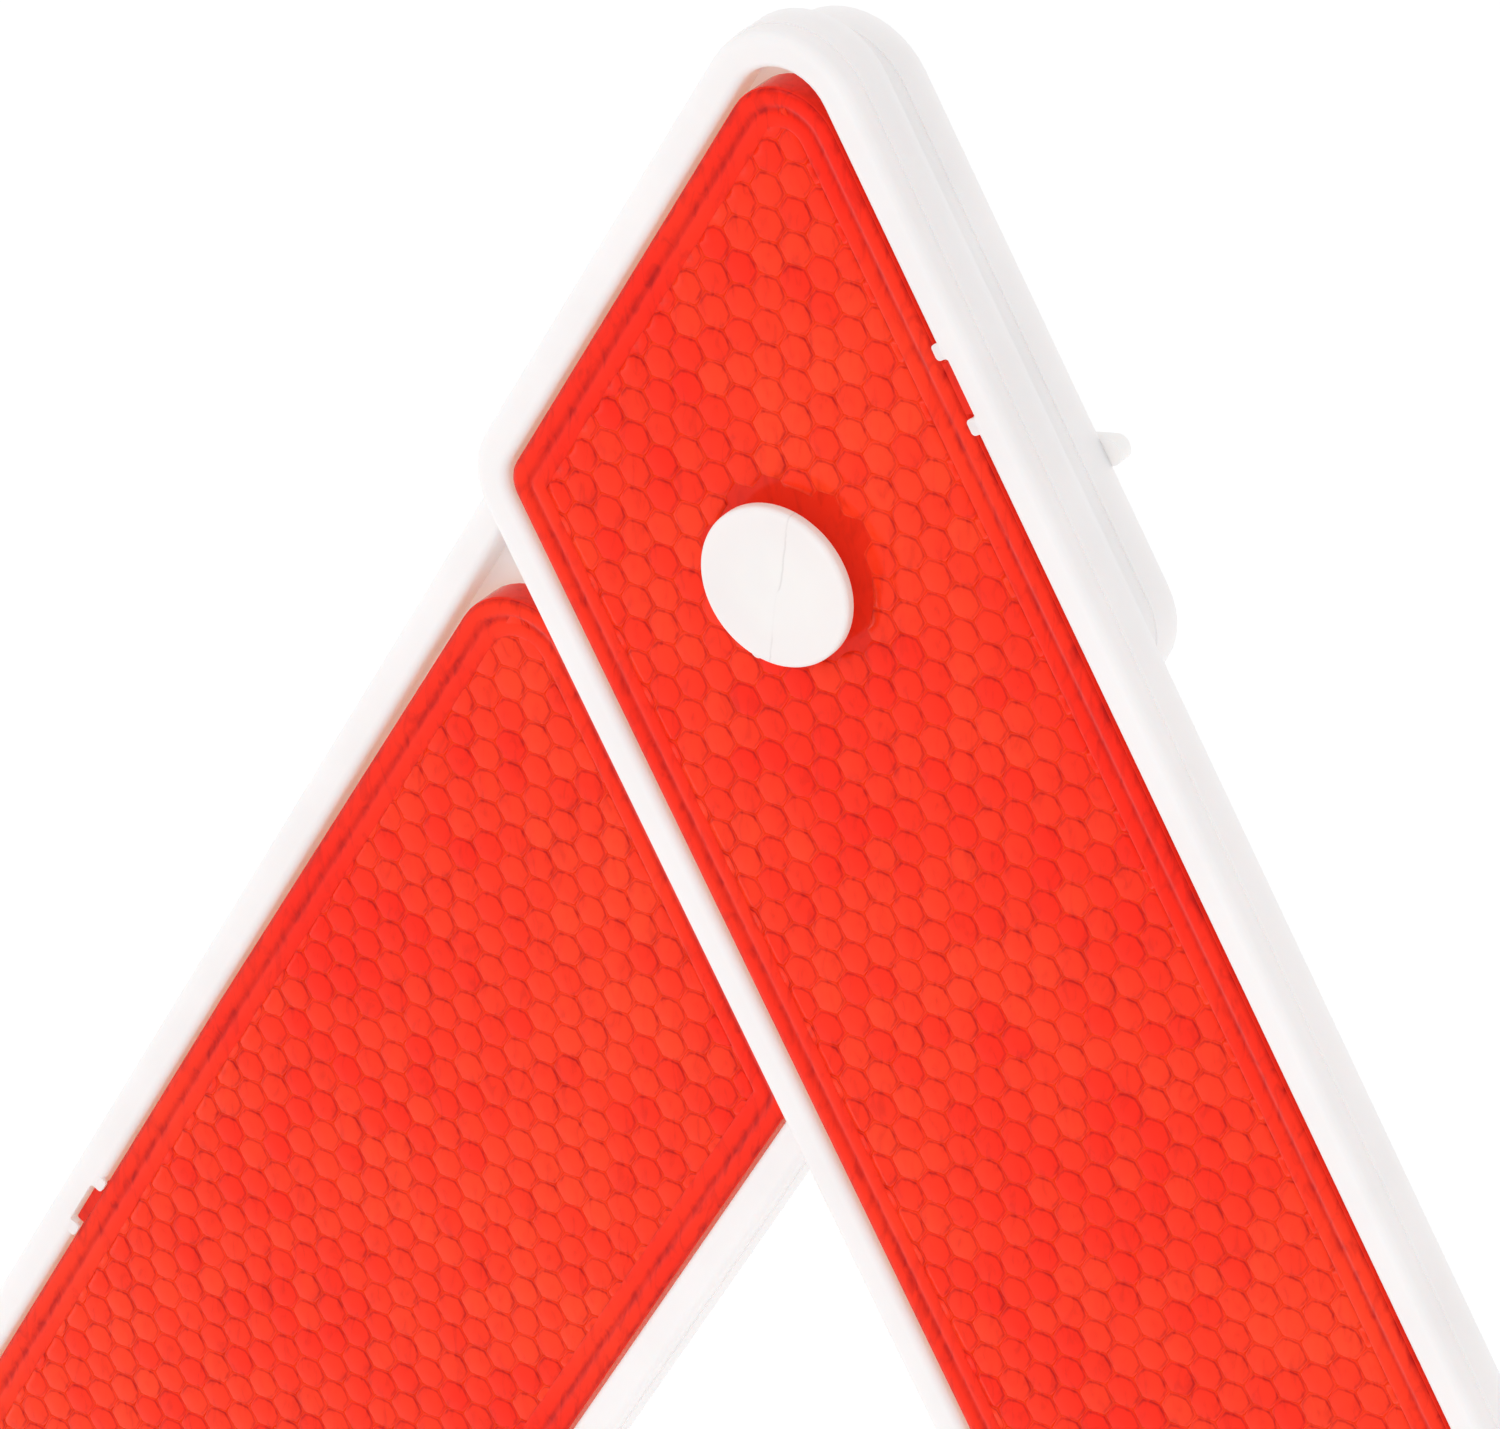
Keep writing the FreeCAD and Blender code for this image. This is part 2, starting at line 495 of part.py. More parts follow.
def build():
    """Every piece of the triangle, by name."""
    right = Arm(SPAN / 2.0, 120.0, 30.0, RIGHT_FRONT)
    left = Arm(-SPAN / 2.0, 60.0, 150.0, LEFT_FRONT)
    base = Arm(-SPAN / 2.0, 0.0, -90.0, BASE_FRONT)
    inset = -RIM_WIDTH - LENS_GAP
    end_inset = -RIM_WIDTH - LENS_END_GAP
    boss_hole = BOSS_RADIUS + BOSS_PLAY
    left_corners = arm_corners(inset, LEFT_LENS_END - END_OFFSET)
    tip = left_corners[0]
    left_corners[0] = (tip[0] - LEFT_LENS_TAPER / (2.0 * COS30), tip[1] - LEFT_LENS_TAPER, LEFT_LENS_TIP)
    left_corners.append((tip[0] - TAPER_RUN, tip[1], 2.0 * TAPER_RUN))
    right_lens = lens(right, lens_corners(arm_corners(inset, end_inset)),
                      [(0.0, boss_hole), (SPAN, NECK_RADIUS + NECK_PLAY)])
    guide_room = bar(right, SPAN, 0.0, GUIDE_RADIUS + NECK_PLAY, GUIDE_FRONT - FACE_PLAY, ARM_DEPTH)
    parts = {
        "base_frame": base_frame(base),
        "base_lens": lens(base, lens_corners(base_corners(inset, end_inset)), [(0.0, boss_hole)]),
        "left_arm_frame": left_frame(left),
        "left_arm_lens": lens(left, left_corners, [(0.0, boss_hole)]),
        "left_pivot_rivet": left_rivet(left, base),
        "left_pivot_spacer": spacer(left, ARM_DEPTH, BASE_GAP, RIVET_RADIUS),
        "latch_receiver": latch_receiver(left),
        "right_arm_frame": right_frame(right),
        "right_arm_lens": right_lens.cut(guide_room),
        "right_pivot_rivet": right_rivet(right),
        "right_pivot_spacer": spacer(right, -LUG_GAP, LUG_GAP, RIVET_RADIUS),
        "button_guide": button_guide(right),
        "latch_button": push_button(right),
    }
    for name, x in (("left", -FOOT_X), ("right", FOOT_X)):
        parts[f"{name}_foot_bar"] = foot_bar(x)
        parts[f"{name}_foot_rivet"] = foot_rivet(x)
        parts[f"{name}_foot_washer"] = foot_washer(x)
        parts[f"{name}_foot_pad_front"] = foot_pad(x, -1)
        parts[f"{name}_foot_pad_back"] = foot_pad(x, 1)
    return parts


def main():
    """Check every solid and write one STEP file for each piece."""
    os.makedirs("parts", exist_ok=True)
    for name, shape in build().items():
        if not shape.isValid() or len(shape.Solids) != 1:
            raise ValueError(f"{name}: valid {shape.isValid()}, solids {len(shape.Solids)}")
        shape.Solids[0].exportStep(f"parts/{name}.step")
        box = shape.BoundBox
        print(f"{name}: {shape.Volume:.0f} mm3, x {box.XMin:.1f} to {box.XMax:.1f}, "
              f"y {box.YMin:.1f} to {box.YMax:.1f}, z {box.ZMin:.1f} to {box.ZMax:.1f}")


main()
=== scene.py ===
import json
import logging
import math
from dataclasses import dataclass
from enum import Enum

import bmesh
import bpy
import numpy as np
from mathutils import Matrix, Vector


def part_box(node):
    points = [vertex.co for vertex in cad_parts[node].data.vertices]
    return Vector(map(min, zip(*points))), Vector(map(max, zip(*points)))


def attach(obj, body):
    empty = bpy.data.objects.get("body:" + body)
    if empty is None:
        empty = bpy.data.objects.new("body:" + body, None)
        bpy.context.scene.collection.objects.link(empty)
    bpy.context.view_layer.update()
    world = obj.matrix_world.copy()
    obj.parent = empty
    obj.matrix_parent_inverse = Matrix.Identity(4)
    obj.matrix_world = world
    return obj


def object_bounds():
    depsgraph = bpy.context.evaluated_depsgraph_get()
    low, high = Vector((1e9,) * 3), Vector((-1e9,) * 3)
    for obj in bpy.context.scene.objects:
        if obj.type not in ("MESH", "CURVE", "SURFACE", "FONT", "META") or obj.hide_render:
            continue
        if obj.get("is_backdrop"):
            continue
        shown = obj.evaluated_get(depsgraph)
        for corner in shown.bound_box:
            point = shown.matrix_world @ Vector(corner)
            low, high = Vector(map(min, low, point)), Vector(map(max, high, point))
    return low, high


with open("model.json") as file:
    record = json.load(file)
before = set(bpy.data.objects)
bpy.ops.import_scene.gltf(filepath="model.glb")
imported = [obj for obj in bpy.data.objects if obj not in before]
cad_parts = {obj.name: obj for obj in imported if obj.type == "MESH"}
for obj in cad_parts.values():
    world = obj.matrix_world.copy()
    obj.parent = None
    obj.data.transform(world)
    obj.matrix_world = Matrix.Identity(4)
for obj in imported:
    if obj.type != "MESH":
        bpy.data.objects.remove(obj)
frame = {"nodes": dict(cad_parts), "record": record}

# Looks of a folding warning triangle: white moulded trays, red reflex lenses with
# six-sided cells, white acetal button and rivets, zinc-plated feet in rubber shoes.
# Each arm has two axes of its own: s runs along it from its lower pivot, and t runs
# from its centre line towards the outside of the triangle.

LOG = logging.getLogger("warning_triangle")
MM = 0.001
COS30 = math.cos(math.radians(30.0))
RING = 12               # points on each ring of a lens cell
PLUG = 3 * RING + 1     # points of one cell: outer ring, inner ring, centre, back ring


class ArmEnd(Enum):
    """How a lens ends at its lower pivot."""

    ROUND = "round"
    SLOPED = "sloped"


# ---------------------------------------------------------------- helpers


def linear(hex_colour: str) -> tuple[float, float, float, float]:
    """Turn an sRGB hex colour into linear RGBA.

    Args:
        hex_colour: six hex digits, such as "F2F0EF".

    Returns:
        Linear red, green, blue and an alpha of one.
    """
    values = [int(hex_colour[i:i + 2], 16) / 255.0 for i in (0, 2, 4)]
    parts = [v / 12.92 if v <= 0.04045 else ((v + 0.055) / 1.055) ** 2.4 for v in values]
    return (parts[0], parts[1], parts[2], 1.0)


def add_node(tree: bpy.types.NodeTree, kind: str, inputs: dict | None = None,
             **settings) -> bpy.types.Node:
    """Add a shader node, set it and link it.

    Args:
        tree: the node tree to add to.
        kind: the node's type name.
        inputs: input name or index to a value, or to an output socket to link from.
        settings: attributes of the node itself.

    Returns:
        The new node.
    """
    node = tree.nodes.new(kind)
    for name, value in settings.items():
        setattr(node, name, value)
    for name, value in (inputs or {}).items():
        if isinstance(value, bpy.types.NodeSocket):
            tree.links.new(value, node.inputs[name])
        else:
            node.inputs[name].default_value = value
    return node


def new_tree(name: str) -> tuple[bpy.types.Material, bpy.types.NodeTree]:
    """Make an empty node material.

    Args:
        name: the material's name.

    Returns:
        The material and its cleared tree.
    """
    material = bpy.data.materials.new(name)
    material.use_nodes = True
    material.node_tree.nodes.clear()
    return material, material.node_tree


def close_tree(tree: bpy.types.NodeTree, shader: bpy.types.Node) -> None:
    """Link a shader to the material's output."""
    add_node(tree, "ShaderNodeOutputMaterial", {"Surface": shader.outputs[0]})


def mesh_object(name: str, points: np.ndarray, faces: list, smooth: bool = True) -> bpy.types.Object:
    """Make an object at the origin from points and faces.

    Args:
        name: the piece's name.
        points: an N by 3 array of places in metres.
        faces: vertex indices of each face, facing outwards.
        smooth: whether the faces are shaded smooth.

    Returns:
        The linked object.
    """
    mesh = bpy.data.meshes.new(name)
    mesh.from_pydata(points.tolist(), [], faces)
    mesh.polygons.foreach_set("use_smooth", np.full(len(mesh.polygons), smooth))
    mesh.update()
    obj = bpy.data.objects.new(name, mesh)
    bpy.context.scene.collection.objects.link(obj)
    return obj


def dress(obj: bpy.types.Object, material: bpy.types.Material) -> None:
    """Give an object one material in place of what it has."""
    obj.data.materials.clear()
    obj.data.materials.append(material)


def add_attribute(obj: bpy.types.Object, name: str, values: np.ndarray) -> None:
    """Store one number per vertex on a mesh."""
    attribute = obj.data.attributes.new(name, "FLOAT", "POINT")
    attribute.data.foreach_set("value", values.astype(np.float32))


def middle_of(node: str) -> Vector:
    """Middle of a CAD node's box, in metres."""
    low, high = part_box(node)
    return (low + high) / 2.0


# ---------------------------------------------------------------- finishes


@dataclass(frozen=True)
class MouldedWhite:
    """White ABS or acetal, injection moulded and satin: even, faintly mottled, soft gloss."""

    name: str = "abs_white_moulded"
    colour: str = "F1EEEE"
    shade: str = "EDEAEA"
    speck: str = "B9B4B2"
    roughness: float = 0.42
    ior: float = 1.53
    mottle: float = 14.0 * MM     # soft clouding of the moulding
    grain: float = 0.9 * MM       # tool grain, drawn coarser than real so that it shows
    grain_depth: float = 0.012 * MM
    speck_spacing: float = 17.0 * MM
    speck_core: float = 0.018     # solid radius of a speck, in spacings
    speck_edge: float = 0.03      # and where it has faded out
    speck_strength: float = 0.55
    glow_depth: float = 2.5 * MM  # how far light spreads inside the plastic
    painted_glow: float = 0.07     # painted glow: the plastic gives off light in its own colour, standing for light that the translucent wall carries into crevices
    specular: float = 0.35

    def build(self) -> bpy.types.Material:
        """Colour by slow noise with rare handling specks, bump by fine noise, and a faint painted glow in
        that colour.
        """
        material, tree = new_tree(self.name)
        place = add_node(tree, "ShaderNodeTexCoord").outputs["Object"]
        cloud = add_node(tree, "ShaderNodeTexNoise",
                         {"Vector": place, "Scale": 1.0 / self.mottle, "Detail": 4.0, "Roughness": 0.6})
        ramp = add_node(tree, "ShaderNodeValToRGB", {"Fac": cloud.outputs["Fac"]})
        ramp.color_ramp.elements[0].position = 0.35
        ramp.color_ramp.elements[0].color = linear(self.shade)
        ramp.color_ramp.elements[1].position = 0.62
        ramp.color_ramp.elements[1].color = linear(self.colour)
        cells = add_node(tree, "ShaderNodeTexVoronoi",
                         {"Vector": place, "Scale": 1.0 / self.speck_spacing})
        spot = add_node(tree, "ShaderNodeMapRange", {"Value": cells.outputs["Distance"],
                        "From Min": self.speck_core, "From Max": self.speck_edge,
                        "To Min": self.speck_strength, "To Max": 0.0})
        mix = add_node(tree, "ShaderNodeMixRGB", {"Fac": spot.outputs["Result"],
                       "Color1": ramp.outputs["Color"], "Color2": linear(self.speck)})
        grain = add_node(tree, "ShaderNodeTexNoise",
                         {"Vector": place, "Scale": 1.0 / self.grain, "Detail": 3.0})
        gloss = add_node(tree, "ShaderNodeMapRange", {"Value": cloud.outputs["Fac"],
                         "To Min": self.roughness - 0.06, "To Max": self.roughness + 0.08})
        bump = add_node(tree, "ShaderNodeBump", {"Height": grain.outputs["Fac"], "Strength": 0.6,
                        "Distance": self.grain_depth})
        shader = add_node(tree, "ShaderNodeBsdfPrincipled", {"Base Color": mix.outputs["Color"],
                          "Roughness": gloss.outputs["Result"], "IOR": self.ior,
                          "Specular IOR Level": self.specular, "Subsurface Weight": 0.5,
                          "Subsurface Radius": (1.0, 0.8, 0.7), "Subsurface Scale": self.glow_depth,
                          # painted glow: emission in the plastic's own colour lightens crevices
                          "Emission Color": mix.outputs["Color"], "Emission Strength": self.painted_glow,
                          "Normal": bump.outputs["Normal"]})
        close_tree(tree, shader)
        return material


@dataclass(frozen=True)
class PartedButton(MouldedWhite):
    """The apex button's acetal, with the fine wandering parting line down its face."""

    name: str = "acetal_white_parted"
    centre_x: float = 0.0
    centre_z: float = 0.0
    line: str = "D3CFCD"
    line_width: float = 0.06 * MM
    sway: float = 1.0 * MM
    sway_length: float = 5.0 * MM
    lean: float = 0.14            # the line leans this much from upright

    def build(self) -> bpy.types.Material:
        """The moulded white, darkened where x lies within the line's width of a wandering course."""
        material = super().build()
        tree = material.node_tree
        shader = next(n for n in tree.nodes if n.type == "BSDF_PRINCIPLED")
        colour = shader.inputs["Base Color"].links[0].from_socket
        place = add_node(tree, "ShaderNodeTexCoord").outputs["Object"]
        local = add_node(tree, "ShaderNodeMapping", {"Vector": place, "Location": (-self.centre_x, 0.0,
                         -self.centre_z)})
        axes = add_node(tree, "ShaderNodeSeparateXYZ", {"Vector": local.outputs["Vector"]})
        wander = add_node(tree, "ShaderNodeTexNoise",
                          {"W": axes.outputs["Z"], "Scale": 1.0 / self.sway_length, "Detail": 5.0},
                          noise_dimensions="1D")
        course = add_node(tree, "ShaderNodeMath", {0: wander.outputs["Fac"], 1: self.sway},
                          operation="MULTIPLY")
        leant = add_node(tree, "ShaderNodeMath",
                         {0: axes.outputs["Z"], 1: -self.lean, 2: axes.outputs["X"]},
                         operation="MULTIPLY_ADD")
        offset = add_node(tree, "ShaderNodeMath", {0: leant.outputs[0], 1: course.outputs[0]},
                          operation="SUBTRACT")
        away = add_node(tree, "ShaderNodeMath", {0: offset.outputs[0]}, operation="ABSOLUTE")
        mask = add_node(tree, "ShaderNodeMapRange", {"Value": away.outputs[0], "From Min": 0.0,
                        "From Max": self.line_width * 2.0, "To Min": 1.0, "To Max": 0.0})
        gaps = add_node(tree, "ShaderNodeMapRange", {"Value": wander.outputs["Fac"], "From Min": 0.42,
                        "From Max": 0.55, "To Min": 0.1, "To Max": 0.65})
        faint = add_node(tree, "ShaderNodeMath", {0: mask.outputs["Result"], 1: gaps.outputs["Result"]},
                         operation="MULTIPLY")
        mix = add_node(tree, "ShaderNodeMixRGB", {"Fac": faint.outputs[0], "Color1": colour,
                       "Color2": linear(self.line)})
        tree.links.new(mix.outputs["Color"], shader.inputs["Base Color"])
        return material


@dataclass(frozen=True)
class ReflexLens:
    """Red PMMA, injection moulded clear through: bright body, deep red painted shade where light is lost.
    """

    name: str = "pmma_red_reflex"
    colour: str = "FA2208"
    warm: str = "FF3E1A"
    # painted shade: the deep red laid into the grooves and along the cell outlines
    groove: str = "B40A04"
    corner: str = "FF3A14"        # small triangles between the round cells
    leak: str = "FFEEE2"          # light that has passed through, on its way to the white tray
    roughness: float = 0.14
    ior: float = 1.49
    cloud: float = 30.0 * MM
    streak: float = 0.9 * MM      # flow marks, drawn coarser than real so that they show
    streak_depth: float = 0.02 * MM
    specular: float = 0.16
    painted_glow: float = 0.1      # painted glow: the lens gives off light in its own colour, standing for light carried sideways inside the clear moulding
    blocked: float = 0.08         # share of the light that the lens keeps from the tray

    def ring_profile(self, tree: bpy.types.NodeTree, edge: bpy.types.NodeSocket) -> bpy.types.NodeSocket:
        """How much painted shade a cell gets, from its middle to its corners.

        Args:
            tree: the node tree.
            edge: 0 in a cell's middle, 1 on its round outline, more in its corners.

        Returns:
            Painted shade from 0 to 1: a soft rise, one thin line at the outline, then light.
        """
        half = add_node(tree, "ShaderNodeMath", {0: edge, 1: 0.5}, operation="MULTIPLY")
        ramp = add_node(tree, "ShaderNodeValToRGB", {"Fac": half.outputs[0]})
        stops = ((0.0, 0.1), (0.28, 0.0), (0.42, 0.1), (0.468, 0.7), (0.495, 0.85), (0.53, 0.3),
                 (0.56, 0.12))
        elements = ramp.color_ramp.elements
        while len(elements) < len(stops):
            elements.new(0.5)
        for element, (place, value) in zip(elements, stops):
            element.position = place
            element.color = (value, value, value, 1.0)
        return ramp.outputs["Color"]

    def build(self) -> bpy.types.Material:
        """Body colour by slow noise and streaks, darkened by the painted shade that the piece's own
        attributes hold.
        """
        material, tree = new_tree(self.name)
        place = add_node(tree, "ShaderNodeTexCoord").outputs["Object"]
        slow = add_node(tree, "ShaderNodeTexNoise",
                        {"Vector": place, "Scale": 1.0 / self.cloud, "Detail": 3.0})
        narrow = add_node(tree, "ShaderNodeMapping", {"Vector": place, "Scale": (1.0, 1.0, 0.4)})
        fine = add_node(tree, "ShaderNodeTexNoise", {"Vector": narrow.outputs["Vector"],
                        "Scale": 1.0 / self.streak, "Detail": 5.0, "Distortion": 0.8})
        tone = add_node(tree, "ShaderNodeAttribute", attribute_name="tone")
        groove = add_node(tree, "ShaderNodeAttribute", attribute_name="groove")
        edge = add_node(tree, "ShaderNodeAttribute", attribute_name="edge")
        painted_side_shade = add_node(tree, "ShaderNodeAttribute", attribute_name="painted_side_shade")
        clouded = add_node(tree, "ShaderNodeMapRange", {"Value": slow.outputs["Fac"], "From Min": 0.3,
                           "From Max": 0.7})
        blend = add_node(tree, "ShaderNodeMath", {0: clouded.outputs["Result"], 1: tone.outputs["Fac"]},
                         operation="ADD", use_clamp=True)
        body = add_node(tree, "ShaderNodeMixRGB", {"Fac": blend.outputs[0], "Color1": linear(self.colour),
                        "Color2": linear(self.warm)})
        corner_part = add_node(tree, "ShaderNodeMapRange", {"Value": edge.outputs["Fac"],
                               "From Min": 1.08, "From Max": 1.2})
        toned = add_node(tree, "ShaderNodeMixRGB", {"Fac": corner_part.outputs["Result"],
                         "Color1": body.outputs["Color"], "Color2": linear(self.corner)})
        line = self.ring_profile(tree, edge.outputs["Fac"])
        # painted shade on the cell's outline, heavier on one side of the cell
        sided = add_node(tree, "ShaderNodeMath", {0: line, 1: painted_side_shade.outputs["Fac"]}, operation="MULTIPLY")
        ragged = add_node(tree, "ShaderNodeMapRange", {"Value": fine.outputs["Fac"], "From Min": 0.3,
                          "From Max": 0.7, "To Min": 0.55, "To Max": 1.15})
        # painted shade: the outline's one-sided shade or the groove attribute, whichever is heavier,
        # broken up by noise
        dark = add_node(tree, "ShaderNodeMath", {0: sided.outputs[0], 1: groove.outputs["Fac"]},
                        operation="MAXIMUM")
        broken = add_node(tree, "ShaderNodeMath", {0: dark.outputs[0], 1: ragged.outputs["Result"]},
                          operation="MULTIPLY")
        flow = add_node(tree, "ShaderNodeMapRange", {"Value": fine.outputs["Fac"], "From Min": 0.48,
                        "From Max": 0.72, "To Min": 0.0, "To Max": 0.3})
        depth = add_node(tree, "ShaderNodeMath", {0: broken.outputs[0], 1: flow.outputs["Result"]},
                         operation="ADD", use_clamp=True)
        mix = add_node(tree, "ShaderNodeMixRGB", {"Fac": depth.outputs[0],
                       "Color1": toned.outputs["Color"], "Color2": linear(self.groove)})
        bump = add_node(tree, "ShaderNodeBump", {"Height": fine.outputs["Fac"], "Strength": 0.4,
                        "Distance": self.streak_depth})
        surface = add_node(tree, "ShaderNodeBsdfPrincipled", {"Base Color": mix.outputs["Color"],
                           "Roughness": self.roughness, "IOR": self.ior,
                           "Specular IOR Level": self.specular,
                           # painted glow: emission in the lens's own colour
                           "Emission Color": mix.outputs["Color"], "Emission Strength": self.painted_glow,
                           "Normal": bump.outputs["Normal"]})
        close_tree(tree, self.leaking(tree, surface))
        return material

    def leaking(self, tree: bpy.types.NodeTree, surface: bpy.types.Node) -> bpy.types.Node:
        """Let part of the light through to the tray behind, though the eye sees the surface."""
        path = add_node(tree, "ShaderNodeLightPath")
        share = add_node(tree, "ShaderNodeMapRange", {"Value": path.outputs["Is Camera Ray"],
                         "To Min": self.blocked, "To Max": 1.0})
        clear = add_node(tree, "ShaderNodeBsdfTransparent", {"Color": linear(self.leak)})
        return add_node(tree, "ShaderNodeMixShader", {0: share.outputs["Result"], 1: clear.outputs[0],
                        2: surface.outputs[0]})


@dataclass(frozen=True)
class ZincPlate:
    """Zinc-plated steel strip, rolled: grey metal with fine lengthwise drag and soft spangle."""

    name: str = "steel_zinc_plated"
    colour: str = "C6C8CA"
    dull: str = "A3A6A8"
    roughness: float = 0.36
    spangle: float = 5.0 * MM
    drag: float = 0.5 * MM        # rolling marks, drawn coarser than real
    drag_stretch: float = 0.03
    drag_depth: float = 0.01 * MM

    def build(self) -> bpy.types.Material:
        """Colour and gloss by cell noise, bump by noise stretched along Y."""
        material, tree = new_tree(self.name)
        place = add_node(tree, "ShaderNodeTexCoord").outputs["Object"]
        cells = add_node(tree, "ShaderNodeTexVoronoi", {"Vector": place, "Scale": 1.0 / self.spangle})
        grey = add_node(tree, "ShaderNodeSeparateColor", {"Color": cells.outputs["Color"]})
        mix = add_node(tree, "ShaderNodeMixRGB", {"Fac": grey.outputs[0], "Color1": linear(self.colour),
                       "Color2": linear(self.dull)})
        gloss = add_node(tree, "ShaderNodeMapRange", {"Value": grey.outputs[1],
                         "To Min": self.roughness - 0.06, "To Max": self.roughness + 0.1})
        stretch = add_node(tree, "ShaderNodeMapping",
                           {"Vector": place, "Scale": (1.0, self.drag_stretch, 1.0)})
        lines = add_node(tree, "ShaderNodeTexNoise", {"Vector": stretch.outputs["Vector"],
                         "Scale": 1.0 / self.drag, "Detail": 3.0})
        bump = add_node(tree, "ShaderNodeBump", {"Height": lines.outputs["Fac"], "Strength": 0.5,
                        "Distance": self.drag_depth})
        shader = add_node(tree, "ShaderNodeBsdfPrincipled", {"Base Color": mix.outputs["Color"],
                          "Metallic": 1.0, "Roughness": gloss.outputs["Result"],
                          "Normal": bump.outputs["Normal"]})
        close_tree(tree, shader)
        return material


@dataclass(frozen=True)
class PadRubber:
    """Black rubber, moulded in a blasted tool: matt and faintly dusty."""

    name: str = "rubber_black_moulded"
    colour: str = "1B1B1C"
    dust: str = "34322F"
    roughness: float = 0.82
    ior: float = 1.52
    grain: float = 0.6 * MM
    grain_depth: float = 0.05 * MM
    dust_cloud: float = 9.0 * MM

    def build(self) -> bpy.types.Material:
        """Colour by clouded dust, bump by fine noise."""
        material, tree = new_tree(self.name)
        place = add_node(tree, "ShaderNodeTexCoord").outputs["Object"]
        cloud = add_node(tree, "ShaderNodeTexNoise",
                         {"Vector": place, "Scale": 1.0 / self.dust_cloud, "Detail": 5.0})
        amount = add_node(tree, "ShaderNodeMapRange", {"Value": cloud.outputs["Fac"], "From Min": 0.45,
                          "From Max": 0.75})
        mix = add_node(tree, "ShaderNodeMixRGB", {"Fac": amount.outputs["Result"],
                       "Color1": linear(self.colour), "Color2": linear(self.dust)})
        grain = add_node(tree, "ShaderNodeTexNoise",
                         {"Vector": place, "Scale": 1.0 / self.grain, "Detail": 2.0})
        bump = add_node(tree, "ShaderNodeBump", {"Height": grain.outputs["Fac"], "Strength": 0.7,
                        "Distance": self.grain_depth})
        shader = add_node(tree, "ShaderNodeBsdfPrincipled", {"Base Color": mix.outputs["Color"],
                          "Roughness": self.roughness, "IOR": self.ior, "Normal": bump.outputs["Normal"]})
        close_tree(tree, shader)
        return material


# ---------------------------------------------------------------- arms and lenses


@dataclass(frozen=True)
class ArmAxes:
    """The axes of one arm in the upright plane, and the depth of its lens's face."""

    pivot: Vector
    along_degrees: float
    outward_degrees: float
    face_y: float

    def direction(self, degrees: float) -> np.ndarray:
        """Unit vector in the upright plane at an angle from +X towards +Z."""
        angle = math.radians(degrees)
        return np.array([math.cos(angle), math.sin(angle)])

    @property
    def mirrored(self) -> bool:
        """Whether a turn from s to t runs clockwise when seen from the front."""
        along = self.direction(self.along_degrees)
        outward = self.direction(self.outward_degrees)
        return along[0] * outward[1] - along[1] * outward[0] < 0.0

    def place(self, s: np.ndarray, t: np.ndarray, height: np.ndarray) -> np.ndarray:
        """Turn arm places into points.

        Args:
            s: distances along the arm.
            t: distances towards the outside.
            height: distances in front of the lens's face.

        Returns:
            Points, N by 3, at pivot + s times along + t times outward, height nearer the front.
        """
        along = self.direction(self.along_degrees)
        outward = self.direction(self.outward_degrees)
        x = self.pivot.x + s * along[0] + t * outward[0]
        z = self.pivot.z + s * along[1] + t * outward[1]
        return np.stack([x, self.face_y - height, z], axis=-1).reshape(-1, 3)


